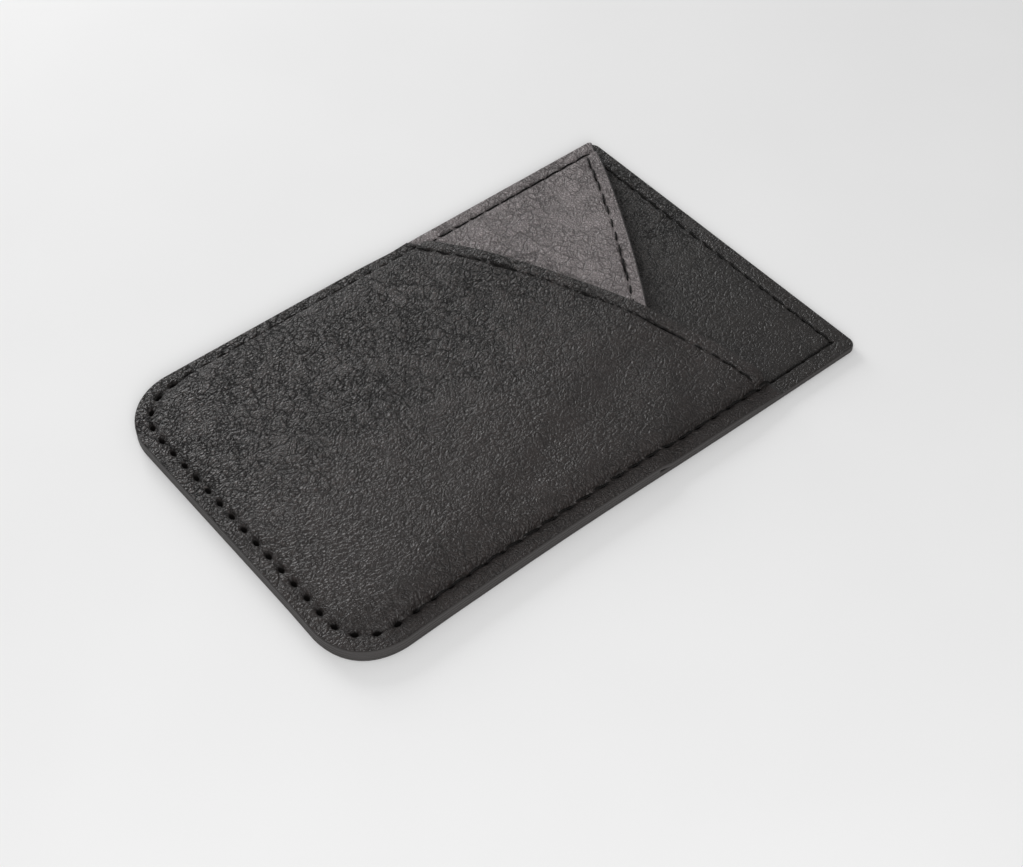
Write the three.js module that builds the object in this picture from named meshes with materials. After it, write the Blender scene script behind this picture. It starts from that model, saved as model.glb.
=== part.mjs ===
// A card holder that sticks to the back of a phone, in millimetres.
// Its sticky face is z = 0, +Y runs towards the open end and +Z points away from the phone.
import * as THREE from 'three';

// Outline
const WIDTH = 62;
const LENGTH = 95.8;
const BOTTOM_CORNER = 10;
const TOP_CORNER = 1.6;
const ADHESIVE_INSET = 1.2;

// Layers, from the phone outwards
const ADHESIVE_THICKNESS = 0.2;
const BACK_THICKNESS = 0.5;
const FACING_THICKNESS = 0.55;
const MIDDLE_THICKNESS = 0.55;
const FRONT_THICKNESS = 0.6;
const FRONT_PADDING = 0.25;

// What the pockets are cut for: a card behind the middle panel, a folded note behind the front panel
const CARD = { width: 54, length: 85.6, thickness: 0.8, corner: 3.2, play: 0.1, belowTop: 0.1 };
const NOTE = { width: 33, thickness: 0.45, tilt: 18, centre: -1.35, slope: 6, play: 0.3 };

// Mouths: heights of each edge at the left side, at two pulls and at the right side.
// The front mouth is measured up from the bottom edge and the middle one down from the top edge.
const FRONT_MOUTH = { left: 56.1, leftPull: [15, 67.7], rightPull: [14, 80.9], right: 79.8 };
const MIDDLE_MOUTH = { left: 0.5, leftPull: [20, 9.5], rightPull: [20, 21.4], right: 40.4 };
const FRONT_HEM = 2.4;
const MIDDLE_HEM = 2.1;
const HEM_TURN = 0.15;

// Seams
const SEAM_INSET = 2.6;
const SEAM_SHIFT = -0.35;
const STITCH_LENGTH = 3.1;
const STITCH_LIFT = 0.1;
const THREAD_RADIUS = 0.18;
const THREAD_PLAY = 0.05;
const GROOVE_SHOULDER = 0.14;
const GROOVE_DEPTH = 0.4;

// Bends and soft edges
const EDGE_ROLL = 0.15;
const LIP_ROLL = 0.25;
const ROLLED_SHARE = 0.35;
const WALL_SKIN = 0.32;
const WALL_PLAY = 0.05;
const CARD_EDGE_SHARE = 0.74;
const CARD_EDGE_SPRING = 1.5;
const MARGIN_STEP = 1.4;
const POCKET_STEP = 6;

// How finely the curved faces are drawn
const MOUTH_POINTS = 160;
const CORNER_STEPS = 7;
const TOP_CORNER_STEPS = 3;
const BOTTOM_STEPS = 8;
const SIDE_STEPS = 8;
const LEAST_CORNER = 3;
const LEAST_TOP_CORNER = 0.4;
const WALL_LINES = [0, 0.2, 0.6, 1.3];
const POCKET_LINES = [3, 5.5, 9, 15, 25];
const THREAD_SIDES = 5;
const STEPS_PER_STITCH = 4;

// Levels that follow from the layers
const BACK_LEVEL = ADHESIVE_THICKNESS;
const FACING_LEVEL = BACK_LEVEL + BACK_THICKNESS;
const POCKET_FLOOR = FACING_LEVEL + FACING_THICKNESS;
const MIDDLE_OVER_CARD = CARD.thickness + CARD.play;
const FRONT_OVER_CARD = MIDDLE_OVER_CARD + NOTE.play;

// Where each face leaves the seam, and how far outside the card it reaches its full height
const GROOVE_HALF_WIDTH = THREAD_RADIUS + THREAD_PLAY;
const GROOVE_REACH = GROOVE_HALF_WIDTH + GROOVE_SHOULDER;
const FRONT_TOP_RISE = { start: GROOVE_REACH, wrap: WALL_SKIN + 2 * WALL_PLAY };
const FRONT_UNDER_RISE = { start: FRONT_TOP_RISE.start + WALL_SKIN, wrap: WALL_SKIN / 2 + 2 * WALL_PLAY };
const MIDDLE_TOP_RISE = { start: FRONT_UNDER_RISE.start + WALL_PLAY, wrap: WALL_SKIN / 2 + WALL_PLAY };
const MIDDLE_UNDER_RISE = { start: MIDDLE_TOP_RISE.start + WALL_SKIN, wrap: WALL_PLAY };

// The card lies against the left seam, with its end just inside the open edge
const CARD_LEFT = -WIDTH / 2 + SEAM_INSET + SEAM_SHIFT + MIDDLE_UNDER_RISE.start + WALL_PLAY;
const CARD_X = CARD_LEFT + CARD.width / 2;
const CARD_Y = LENGTH / 2 - CARD.belowTop - CARD.length / 2;

const clamp01 = (value) => Math.min(1, Math.max(0, value));
const smooth = (value) => clamp01(value) ** 2 * (3 - 2 * clamp01(value));
const mix = (a, b, share) => a + (b - a) * share;

// A mouth is one cubic curve from the left side to the right side
function mouthCurve({ left, leftPull, rightPull, right }, level) {
  const half = WIDTH / 2;
  const curve = new THREE.CubicBezierCurve(
    new THREE.Vector2(-half, level(left)),
    new THREE.Vector2(-half + leftPull[0], level(leftPull[1])),
    new THREE.Vector2(half - rightPull[0], level(rightPull[1])),
    new THREE.Vector2(half, level(right)),
  );
  const points = curve.getPoints(MOUTH_POINTS);
  const at = (x) => {
    const after = points.findIndex((point) => point.x > x);
    const index = after < 0 ? points.length - 1 : Math.max(after, 1);
    const [a, b] = [points[index - 1], points[index]];
    return mix(a.y, b.y, (x - a.x) / (b.x - a.x));
  };
  const reach = WIDTH / MOUTH_POINTS;
  const slant = (x) => Math.hypot(1, (at(x + reach) - at(x - reach)) / (2 * reach));
  const past = (x, y) => (y - at(x)) / slant(x);
  return { at, slant, past };
}

const frontMouth = mouthCurve(FRONT_MOUTH, (height) => height - LENGTH / 2);
const middleMouth = mouthCurve(MIDDLE_MOUTH, (depth) => LENGTH / 2 - depth);

// Height of the outline's open edge, which has small round corners
function openEdge(x) {
  const start = WIDTH / 2 - TOP_CORNER;
  const beyond = Math.min(Math.max(Math.abs(x) - start, 0), TOP_CORNER);
  return LENGTH / 2 - TOP_CORNER + Math.sqrt(TOP_CORNER ** 2 - beyond ** 2);
}

// The seam lies a little to the left: no shift at the cut edge, all of it from the seam inwards
const shiftAt = (inset) => SEAM_SHIFT * clamp01(inset / SEAM_INSET);

// How far a face has climbed: 0 at the seam, most of the way where it meets the card, 1 well over the card
function rise(x, y, inset, { start, wrap }) {
  const fromSeam = inset - SEAM_INSET - start;
  if (fromSeam <= 0) return 0;
  const corner = CARD.corner + wrap;
  const dx = Math.abs(x - CARD_X) - (CARD.width / 2 - CARD.corner);
  const dy = Math.max(CARD_Y - y, 0) - (CARD.length / 2 - CARD.corner);
  const outside = Math.hypot(Math.max(dx, 0), Math.max(dy, 0)) + Math.min(Math.max(dx, dy), 0) - corner;
  const climb = Math.sqrt(fromSeam / (fromSeam + Math.max(outside, 0)));
  const settled = 1 - Math.exp(Math.min(outside, 0) / CARD_EDGE_SPRING);
  return mix(CARD_EDGE_SHARE * climb, 1, settled * climb);
}

// 1 where the middle panel lies underneath, falling to 0 over a step past its mouth
const overMiddle = (x, y, step) => 1 - clamp01((middleMouth.past(x, y) - EDGE_ROLL) / step);

// 1 where the folded note lies, a strip that leans to the right on its way down
function overNote(x, y) {
  const tilt = THREE.MathUtils.degToRad(NOTE.tilt);
  const across = Math.abs(x * Math.cos(tilt) + y * Math.sin(tilt) - NOTE.centre);
  return 1 - smooth((across - NOTE.width / 2) / NOTE.slope + 0.5);
}

// A seam pulls a groove into its face: 1 along the floor, 0 past the shoulders
const groove = (distance) => clamp01((GROOVE_REACH - Math.abs(distance)) / GROOVE_SHOULDER);
const sunk = (inset, fromMouth, hem, up) => (
  GROOVE_DEPTH * Math.max(groove(inset - SEAM_INSET), groove(fromMouth - hem) * smooth(3 * up))
);

// Height of each face at a place, a distance from the cut edge and a distance from the mouth
const frontMargin = (x, y) => POCKET_FLOOR + MIDDLE_THICKNESS * overMiddle(x, y, MARGIN_STEP);

function frontPocket(x, y) {
  const middle = MIDDLE_THICKNESS * smooth(overMiddle(x, y, POCKET_STEP));
  return POCKET_FLOOR + FRONT_OVER_CARD + middle + NOTE.thickness * overNote(x, y);
}

function frontUnder(x, y, inset, fromMouth) {
  const up = rise(x, y, inset, FRONT_UNDER_RISE);
  const turned = HEM_TURN * up * (1 - smooth((fromMouth - FRONT_HEM) / (FRONT_HEM / 2)));
  return mix(frontMargin(x, y), frontPocket(x, y), up) - turned;
}

function frontTop(x, y, inset, fromMouth) {
  const up = rise(x, y, inset, FRONT_TOP_RISE);
  const level = mix(frontMargin(x, y), frontPocket(x, y) + FRONT_PADDING, up) + FRONT_THICKNESS;
  return level - sunk(inset, fromMouth, FRONT_HEM, up);
}

const middleUnder = (x, y, inset) => POCKET_FLOOR + MIDDLE_OVER_CARD * rise(x, y, inset, MIDDLE_UNDER_RISE);

function middleTop(x, y, inset, fromMouth) {
  const up = rise(x, y, inset, MIDDLE_TOP_RISE);
  return POCKET_FLOOR + MIDDLE_THICKNESS + MIDDLE_OVER_CARD * up - sunk(inset, fromMouth, MIDDLE_HEM, up);
}

// Distances from the cut edge and from the mouth at which a face is drawn
const SEAM_LINES = [-GROOVE_REACH, -GROOVE_HALF_WIDTH, GROOVE_HALF_WIDTH, GROOVE_REACH];
const fromSeam = (distances) => distances.map((distance) => SEAM_INSET + distance);
const wallLines = (start) => [...WALL_LINES.map((line) => start + line), ...POCKET_LINES];
const topLines = (start) => [0, EDGE_ROLL, ...fromSeam([...new Set([...SEAM_LINES, ...wallLines(start)])])];
const underLines = (start) => [0, ...fromSeam(wallLines(start))];
const hemLines = (hem) => [
  0, EDGE_ROLL, LIP_ROLL + 2 * EDGE_ROLL, ...SEAM_LINES.map((line) => hem + line), hem + MARGIN_STEP,
];

function arc(side, half, y, radius, from, steps, shift) {
  return Array.from({ length: steps + 1 }, (_, step) => {
    const angle = THREE.MathUtils.degToRad(from + (90 * step) / steps);
    const x = side * (half - radius) + radius * Math.cos(angle) + shift;
    return { x, y: y + radius * Math.sin(angle), fromMouth: Infinity };
  });
}

// Heights down one side of a pocket panel, below its hem. Under the front panel the right side steps
// over the middle panel's mouth, so two rows lie on that step.
function sideRows(x, start, low, stepsOver) {
  const even = (from, to, count) => (
    Array.from({ length: count - 1 }, (_, step) => mix(from, to, (step + 1) / count))
  );
  if (!stepsOver) return even(start, low, SIDE_STEPS);
  const slant = middleMouth.slant(x);
  const stepTop = Math.min(middleMouth.at(x) + (EDGE_ROLL + MARGIN_STEP) * slant, start - 2 * MARGIN_STEP);
  const stepFoot = Math.min(middleMouth.at(x) + EDGE_ROLL * slant, stepTop - MARGIN_STEP);
  return [...even(start, stepTop, 2), stepTop, stepFoot, ...even(stepFoot, low, SIDE_STEPS - 3)];
}

// One U-shaped line of a pocket panel: down the left side, round the bottom and up the right side
function pocketLine(inset, { mouth, hem, stepsOverMiddle }) {
  const half = WIDTH / 2 - inset;
  const radius = Math.min(Math.max(BOTTOM_CORNER - inset, LEAST_CORNER), half);
  const shift = shiftAt(inset);
  const low = -LENGTH / 2 + inset + radius;
  const side = (sign) => {
    const x = sign * half + shift;
    const top = Math.min(mouth.at(x), openEdge(x));
    const rows = hemLines(hem).map((row) => ({ x, y: top - row * mouth.slant(x), fromMouth: row }));
    const rest = sideRows(x, rows.at(-1).y, low, stepsOverMiddle && sign > 0);
    return [...rows, ...rest.map((y) => ({ x, y, fromMouth: Infinity }))];
  };
  const bottom = Array.from({ length: BOTTOM_STEPS - 1 }, (_, step) => {
    const x = (half - radius) * mix(-1, 1, (step + 1) / BOTTOM_STEPS) + shift;
    return { x, y: low - radius, fromMouth: Infinity };
  });
  return [
    ...side(-1),
    ...arc(-1, half, low, radius, 180, CORNER_STEPS, shift),
    ...bottom,
    ...arc(1, half, low, radius, 270, CORNER_STEPS, shift),
    ...side(1).reverse(),
  ];
}

// One line all round a full panel, anticlockwise from its top left corner
function fullLine(inset) {
  const half = WIDTH / 2 - inset;
  const shift = shiftAt(inset);
  const lowRadius = Math.max(BOTTOM_CORNER - inset, LEAST_CORNER);
  const topRadius = Math.max(TOP_CORNER - inset, LEAST_TOP_CORNER);
  const low = -LENGTH / 2 + inset + lowRadius;
  const top = LENGTH / 2 - inset - topRadius;
  return [
    ...arc(-1, half, top, topRadius, 90, TOP_CORNER_STEPS, shift),
    ...arc(-1, half, low, lowRadius, 180, CORNER_STEPS, shift),
    ...arc(1, half, low, lowRadius, 270, CORNER_STEPS, shift),
    ...arc(1, half, top, topRadius, 0, TOP_CORNER_STEPS, shift),
  ];
}

// Collects points and triangles, and joins one line of points to the next
class Skin {
  positions = [];

  faces = [];

  line(points, height) {
    return points.map((point) => {
      this.positions.push(point.x, point.y, height(point));
      return this.positions.length / 3 - 1;
    });
  }

  face(a, b, c, flip) {
    this.faces.push(...(flip ? [a, c, b] : [a, b, c]));
  }

  gap(a, b) {
    const at = (index) => new THREE.Vector3().fromArray(this.positions, index * 3);
    return at(a).distanceTo(at(b));
  }

  // Lines with as many points are joined point to point, others by the shorter step
  strip(first, second, flip) {
    const matched = first.length === second.length;
    let i = 0;
    let j = 0;
    while (i < first.length - 1 || j < second.length - 1) {
      const canStepFirst = i < first.length - 1 && !(matched && i > j);
      const canStepSecond = j < second.length - 1 && !(matched && j > i);
      const firstIsShorter = !canStepSecond
        || (canStepFirst && this.gap(first[i + 1], second[j]) <= this.gap(first[i], second[j + 1]));
      if (firstIsShorter) {
        this.face(first[i], first[i + 1], second[j], flip);
        i += 1;
      } else {
        this.face(first[i], second[j + 1], second[j], flip);
        j += 1;
      }
    }
  }

  strips(lines, flip) {
    for (let index = 1; index < lines.length; index += 1) this.strip(lines[index - 1], lines[index], flip);
  }

  geometry() {
    const geometry = new THREE.BufferGeometry();
    geometry.setAttribute('position', new THREE.Float32BufferAttribute(this.positions, 3));
    geometry.setIndex(this.faces);
    geometry.computeVertexNormals();
    return geometry;
  }
}

// One face of a pocket panel: its lines joined, and the strip left down its middle
function pocketFace(skin, insets, panel, height, flip) {
  const lines = insets.map((inset) => skin.line(pocketLine(inset, panel), (point) => height(point, inset)));
  skin.strips(lines, flip);
  const last = lines.at(-1);
  const half = Math.floor(last.length / 2);
  skin.strip(last.slice(0, half + 1), last.slice(half).reverse(), flip);
  const mouth = [...lines.map((line) => line[0]), ...lines.map((line) => line.at(-1)).reverse()];
  return { edge: lines[0], mouth };
}

// A pocket panel: two faces, the rounded cut edge and the rolled lip of its mouth
function pocketPanel(panel) {
  const skin = new Skin();
  const rolled = ({ x, y, fromMouth }, inset) => {
    const high = panel.top(x, y, inset, fromMouth);
    const low = panel.under(x, y, inset, fromMouth);
    const lip = 1 - smooth(fromMouth / LIP_ROLL);
    const cut = inset < EDGE_ROLL ? 1 : 0;
    const taken = ROLLED_SHARE * (high - low);
    return { high: high - taken * Math.max(lip, cut / 2), low: low + (taken / 2) * lip };
  };
  const high = (...place) => rolled(...place).high;
  const low = (...place) => rolled(...place).low;
  const upper = pocketFace(skin, topLines(panel.topRise.start), panel, high, false);
  const lower = pocketFace(skin, underLines(panel.underRise.start), panel, low, true);
  skin.strip(upper.edge, lower.edge, true);
  skin.strip(upper.mouth, lower.mouth, false);
  return skin.geometry();
}

// A full panel: flat underneath, with a rounded cut edge and, where it is sewn in view, a seam groove
function fullPanel(bottom, top, seamLines) {
  const skin = new Skin();
  const close = (line) => [...line, line[0]];
  const height = (inset) => {
    if (inset < EDGE_ROLL) return top - EDGE_ROLL;
    return seamLines.length ? top - GROOVE_DEPTH * groove(inset - SEAM_INSET) : top;
  };
  const insets = [0, EDGE_ROLL, ...fromSeam(seamLines)];
  const lines = insets.map((inset) => close(skin.line(fullLine(inset), () => height(inset))));
  skin.strips(lines, false);
  const below = close(skin.line(fullLine(0), () => bottom));
  skin.strip(lines[0], below, true);
  const fill = (line, flip) => {
    const half = Math.floor(line.length / 2);
    skin.strip(line.slice(0, half), line.slice(half, -1).reverse(), flip);
  };
  fill(lines.at(-1), false);
  fill(below, true);
  return skin.geometry();
}

function adhesivePad() {
  const outline = new THREE.Shape(fullLine(ADHESIVE_INSET).map(({ x, y }) => new THREE.Vector2(x, y)));
  return new THREE.ExtrudeGeometry(outline, { depth: ADHESIVE_THICKNESS, bevelEnabled: false });
}

// A row of stitches: one thread that lifts between the needle holes and dips at each of them
function stitchRow(path, height) {
  const steps = Math.round(path.getLength() / STITCH_LENGTH) * STEPS_PER_STITCH;
  const points = path.getSpacedPoints(steps).map(({ x, y }, index) => {
    const lift = STITCH_LIFT * Math.sin((Math.PI * (index % STEPS_PER_STITCH)) / STEPS_PER_STITCH);
    return new THREE.Vector3(x, y, height(x, y) - GROOVE_DEPTH + THREAD_PLAY + THREAD_RADIUS + lift);
  });
  const section = Array.from({ length: THREAD_SIDES }, (_, side) => (
    new THREE.Vector2(THREAD_RADIUS, 0).rotateAround(new THREE.Vector2(), (2 * Math.PI * side) / THREAD_SIDES)
  ));
  const extrudePath = new THREE.CatmullRomCurve3(points);
  return new THREE.ExtrudeGeometry(new THREE.Shape(section), { steps, bevelEnabled: false, extrudePath });
}

// The perimeter seam starts on the tip of the middle panel and runs left, bottom, right and top,
// to end on the facing beside that tip. It steps down wherever it leaves a mouth.
function perimeterStitching() {
  const seamTop = LENGTH / 2 - SEAM_INSET;
  const corners = fullLine(SEAM_INSET).slice(TOP_CORNER_STEPS).map(({ x, y }) => new THREE.Vector2(x, y));
  corners[0].y = Math.min(seamTop, middleMouth.at(corners[0].x) - MIDDLE_HEM / 2);
  const end = new THREE.Vector2(corners[0].x, seamTop);
  while (middleMouth.past(end.x, end.y) < MIDDLE_HEM / 2) end.x += EDGE_ROLL;
  const path = new THREE.CurvePath();
  [...corners, end].forEach((corner, index, all) => {
    if (index > 0) path.add(new THREE.LineCurve(all[index - 1], corner));
  });
  const stepDown = (past) => 1 - smooth((past - 2 * EDGE_ROLL) / (4 * THREAD_RADIUS));
  return stitchRow(path, (x, y) => {
    const behind = POCKET_FLOOR + MIDDLE_THICKNESS * stepDown(middleMouth.past(x, y));
    return mix(behind, frontMargin(x, y) + FRONT_THICKNESS, stepDown(frontMouth.past(x, y)));
  });
}

// A hem seam runs beside its mouth, between the walls at the two side seams
function hemStitching({ mouth, hem, top, topRise }) {
  const reach = WIDTH / 2 - SEAM_INSET - topRise.start - 2 * THREAD_RADIUS;
  const points = Array.from({ length: MOUTH_POINTS + 1 }, (_, index) => {
    const x = mix(-reach, reach, index / MOUTH_POINTS) + SEAM_SHIFT;
    return new THREE.Vector2(x, mouth.at(x) - hem * mouth.slant(x));
  });
  return stitchRow(new THREE.SplineCurve(points), (x, y) => {
    const inset = WIDTH / 2 - Math.abs(x - SEAM_SHIFT);
    return top(x, y, inset, Infinity);
  });
}

function piece(name, geometry, color, roughness) {
  const mesh = new THREE.Mesh(geometry, new THREE.MeshStandardMaterial({ color, roughness, metalness: 0 }));
  mesh.name = name;
  return mesh;
}

const middlePanel = {
  mouth: middleMouth,
  hem: MIDDLE_HEM,
  top: middleTop,
  under: middleUnder,
  topRise: MIDDLE_TOP_RISE,
  underRise: MIDDLE_UNDER_RISE,
  stepsOverMiddle: false,
};
const frontPanel = {
  mouth: frontMouth,
  hem: FRONT_HEM,
  top: frontTop,
  under: frontUnder,
  topRise: FRONT_TOP_RISE,
  underRise: FRONT_UNDER_RISE,
  stepsOverMiddle: true,
};

const holder = new THREE.Group();
holder.add(
  piece('adhesive_pad', adhesivePad(), 0xd8d5cf, 0.6),
  piece('back_panel', fullPanel(BACK_LEVEL, FACING_LEVEL, []), 0x2b2a29, 0.7),
  piece('back_facing', fullPanel(FACING_LEVEL, POCKET_FLOOR, SEAM_LINES), 0x363331, 0.62),
  piece('middle_panel', pocketPanel(middlePanel), 0x5a5654, 0.6),
  piece('front_panel', pocketPanel(frontPanel), 0x45423f, 0.58),
  piece('perimeter_stitching', perimeterStitching(), 0x151413, 0.55),
  piece('mouth_stitching', hemStitching(frontPanel), 0x151413, 0.55),
  piece('inner_mouth_stitching', hemStitching(middlePanel), 0x151413, 0.55),
);
export default holder;
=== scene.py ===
"""Builds the looks of a stick-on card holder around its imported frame. All sizes are in metres."""

import math

import bpy
import numpy as np
from bpy.props import FloatProperty, FloatVectorProperty, PointerProperty
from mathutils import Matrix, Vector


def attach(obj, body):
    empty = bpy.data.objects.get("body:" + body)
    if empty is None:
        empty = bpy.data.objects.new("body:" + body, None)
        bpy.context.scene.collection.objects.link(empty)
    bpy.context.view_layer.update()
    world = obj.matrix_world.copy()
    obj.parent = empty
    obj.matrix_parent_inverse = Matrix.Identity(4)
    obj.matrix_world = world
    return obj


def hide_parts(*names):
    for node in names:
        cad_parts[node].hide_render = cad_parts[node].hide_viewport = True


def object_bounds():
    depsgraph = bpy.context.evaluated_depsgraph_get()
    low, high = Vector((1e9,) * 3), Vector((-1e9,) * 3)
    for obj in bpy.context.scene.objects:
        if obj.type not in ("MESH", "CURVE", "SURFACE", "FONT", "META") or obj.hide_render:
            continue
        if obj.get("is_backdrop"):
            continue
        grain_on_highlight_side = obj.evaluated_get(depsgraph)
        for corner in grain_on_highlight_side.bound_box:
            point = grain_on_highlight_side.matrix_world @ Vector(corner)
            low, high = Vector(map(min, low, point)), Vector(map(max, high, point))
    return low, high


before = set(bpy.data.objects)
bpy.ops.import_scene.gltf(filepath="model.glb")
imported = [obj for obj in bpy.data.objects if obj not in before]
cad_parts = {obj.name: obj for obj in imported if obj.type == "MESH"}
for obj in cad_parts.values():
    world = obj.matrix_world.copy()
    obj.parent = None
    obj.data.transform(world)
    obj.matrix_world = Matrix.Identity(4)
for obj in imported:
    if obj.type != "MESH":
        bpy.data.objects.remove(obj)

bl_info = {
    "name": "Card Holder",
    "version": (1, 0, 0),
    "blender": (4, 5, 0),
    "location": "3D Viewport > Sidebar > Card Holder",
    "description": "Models a sewn faux-leather card holder that sticks to the back of a phone",
    "category": "Object",
}

MM = 0.001

# Linear colours of the painted edges and of the painted shade in the deepest hollows: needle holes, seam
# grooves and grain cracks
EDGE_PAINT = (0.0320, 0.0285, 0.0275)
HOLLOW_SHADE_TONE = (0.0030, 0.0026, 0.0024)

# Both mouths as cubic curves from the left side to the right, in millimetres
FRONT_MOUTH = [(-31, 8.2), (-16, 19.8), (17, 33), (31, 31.9)]
MIDDLE_MOUTH = [(-31, 47.4), (-11, 38.4), (11, 26.5), (31, 7.5)]

# Where the handmade outline leaves its straight lines, and over what lengths
SIDE_START = 20 * MM
SIDE_REACH = 11 * MM
WAIST_Y = -9 * MM
WAIST_REACH = 22 * MM
PUSH_START = 4 * MM
PUSH_REACH = 6 * MM
CORNER_X = 29 * MM
CORNER_Y = -46 * MM
CORNER_REACH = 7 * MM
STRETCH_START = 30 * MM
STRETCH_REACH = 17 * MM

# Where the perimeter seam turns from loose to tight
TIGHT_X = 18 * MM
TIGHT_X_REACH = 6 * MM
TIGHT_Y = -38 * MM
TIGHT_Y_REACH = 8 * MM
TIGHT_MOUTH_REACH = 2 * MM

# Slow waves of a soft panel
WAVE_WIDTH = 9 * MM
WAVE_LENGTH = 11 * MM
WAVE_HEIGHT = 0.03 * MM
MIDDLE_WAVES = 0.6

# Finer shapes of the panels
CLIMB_POWER = 0.7
STEP_PLAY = 0.15 * MM
HEM_TURN = 0.15 * MM
LEAST_LOW_CORNER = 3 * MM
LEAST_TOP_CORNER = 0.4 * MM
LEAST_SKIN = 0.12 * MM
LIP_EDGE = 0.35 * MM
FAR_FROM_MOUTH = 40 * MM

# How the thread lies
STITCH_SHARE = 0.88
STITCH_LEAN = math.radians(5)
THREAD_LIFT = 0.8
LOOSE_DEPTH = 0.27 * MM
TIGHT_DIP = 0.35 * MM
THREAD_STEP = 0.8 * MM
HEM_END = 0.9 * MM
SEAM_STEPS = 2400
HEM_STEPS = 700

# How finely the skins are drawn
MERGE_DISTANCE = 0.002 * MM
SMOOTH_ANGLE = math.radians(50)
POCKET_COUNTS = (150, 34, 100)
SEWN_COUNTS = (150, 34, 100, 10)
PLAIN_COUNTS = (12, 20, 8, 8)

# The lamps and the floor
KEY_PLACE = (-0.473, 0.050, 0.155)
KEY_SIZE = 0.25
FILL_PLACE = (0.36, -0.26, 0.34)
FILL_SIZE = 0.40
FLOOR_SIZE = 4.0


def length(name, millimetres, description):
    """A length property in metres, given in millimetres."""
    return FloatProperty(
        name=name,
        description=description,
        default=millimetres * MM,
        soft_min=0.0,
        precision=5,
        subtype="DISTANCE",
        unit="LENGTH",
    )


def share(name, value, description):
    """A plain number property."""
    return FloatProperty(name=name, description=description, default=value, precision=3)


def colour(name, value, description):
    """A linear colour property."""
    return FloatVectorProperty(
        name=name,
        description=description,
        default=value,
        size=3,
        min=0.0,
        max=1.0,
        subtype="COLOR",
    )


class HolderSizes(bpy.types.PropertyGroup):
    """Sizes of the holder's outline, layers, seams and bends."""

    width: length("Width", 62, "Across the holder")
    length: length("Length", 95.8, "From the closed end to the open end")
    low_corner: length("Closed end corner", 10, "Radius of the corners at the closed end")
    top_corner: length("Open end corner", 1.6, "Radius of the corners at the open end")
    adhesive_inset: length("Adhesive inset", 1.2, "How far the adhesive stays inside the edge")
    adhesive: length("Adhesive", 0.2, "Thickness of the adhesive sheet")
    back: length("Back", 0.5, "Thickness of the back panel")
    facing: length("Facing", 0.55, "Thickness of the facing")
    middle: length("Middle panel", 0.55, "Thickness of the middle panel")
    front: length("Front panel", 0.6, "Thickness of the front panel")
    padding: length("Padding", 0.25, "How far the front panel swells over what it covers")
    card_width: length("Card width", 54, "Width of a standard card")
    card_length: length("Card length", 85.6, "Length of a standard card")
    card_thickness: length("Card thickness", 0.9, "Height that a card lifts the panels")
    card_corner: length("Card corner", 3.2, "Radius of a card's corners")
    card_below_top: length("Card end", 0.1, "From the open edge to the card's end")
    note_width: length("Note width", 33, "Width of a folded note")
    note_thickness: length("Note thickness", 0.45, "Height of a folded note")
    note_centre: length("Note place", -1.35, "Where the note's middle lies")
    note_slope: length("Note slope", 6, "How softly the front panel comes down beside the note")
    note_play: length("Note play", 0.3, "Room in the front pocket")
    note_tilt: FloatProperty(
        name="Note tilt",
        description="How far the note leans",
        default=math.radians(18),
        subtype="ANGLE",
        unit="ROTATION",
    )
    seam_inset: length("Seam inset", 2.6, "From the cut edge to the seam")
    seam_shift: length("Seam shift", -0.35, "How far the whole seam lies to the left")
    front_hem: length("Front hem", 2.4, "From the front mouth to its seam")
    middle_hem: length("Middle hem", 2.1, "From the middle mouth to its seam")
    stitch: length("Stitch", 3.1, "Length of a stitch")
    thread: length("Thread", 0.16, "Radius of the thread")
    seam_sink: length("Seam depth", 0.13, "How deep the thread pulls the seam")
    seam_reach: length("Seam reach", 0.24, "Half width of the seam's hollow")
    hole_sink: length("Hole depth", 0.75, "How much deeper the needle holes are")
    hole_length: length("Hole length", 0.60, "Half length of a needle hole's hollow")
    hole_width: length("Hole width", 0.48, "Half width of a needle hole's hollow")
    tight_hole_sink: length("Tight hole depth", 0.46, "The same depth in a tight seam")
    tight_hole_width: length("Tight hole width", 0.34, "The same half width in a tight seam")
    top_rest: length("Top seam rest", 4.5, "How far the seam over the open end stays short of its start")
    edge_round: length("Edge rounding", 0.2, "Radius of the rounded cut edges")
    wall_start: length("Wall start", 0.37, "From the seam to where the front panel climbs")
    wall_skin: length("Wall skin", 0.32, "Thickness of a panel where it climbs")
    wall_play: length("Wall play", 0.05, "Room between the panels where they climb")
    card_spring: length("Card spring", 1.5, "How softly a panel settles over the card")
    margin_step: length("Margin step", 1.4, "Length of the step over the middle mouth in the margin")
    pocket_step: length("Pocket step", 6, "Length of that step over the pocket")
    skived: length("Skived edge", 0.22, "Thickness of the front panel's margin at its mouth")
    skive_reach: length("Skive", 9, "How far from the mouth the margin is thinned")
    hem_swell: length("Hem swell", 0.1, "How far a turned hem swells")
    waist: length("Waist", 0.43, "How far the right side draws in at its middle")
    left_push: length("Left push", 0.36, "How far the left side stands out beyond the front mouth")
    corner_push: length("Corner push", 0.5, "How far the right corner at the closed end stands out")
    top_stretch: length("Top stretch", 0.35, "How much longer the open end is than its straight lines")
    card_share: share("Card share", 0.74, "Share of the climb that is done at the card's edge")


class HolderColours(bpy.types.PropertyGroup):
    """Colours of the leather, the thread and the adhesive."""

    front: colour("Front leather", (0.0225, 0.0162, 0.0145), "Front panel")
    # Painted sheen: the middle panel is the same leather as the front, painted far lighter to stand for the
    # grazing sheen the key light puts on it
    middle: colour("Middle leather", (0.2300, 0.2010, 0.2010), "Middle panel")
    facing: colour("Facing leather", (0.0160, 0.0124, 0.0108), "Facing beyond the mouths")
    back: colour("Back leather", (0.0160, 0.0130, 0.0112), "Back panel")
    thread: colour("Thread", (0.0045, 0.0040, 0.0037), "Sewing thread")
    adhesive: colour("Adhesive", (0.68, 0.66, 0.62), "Adhesive sheet")
    floor: colour("Floor", (0.88, 0.88, 0.88), "Floor")


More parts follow.
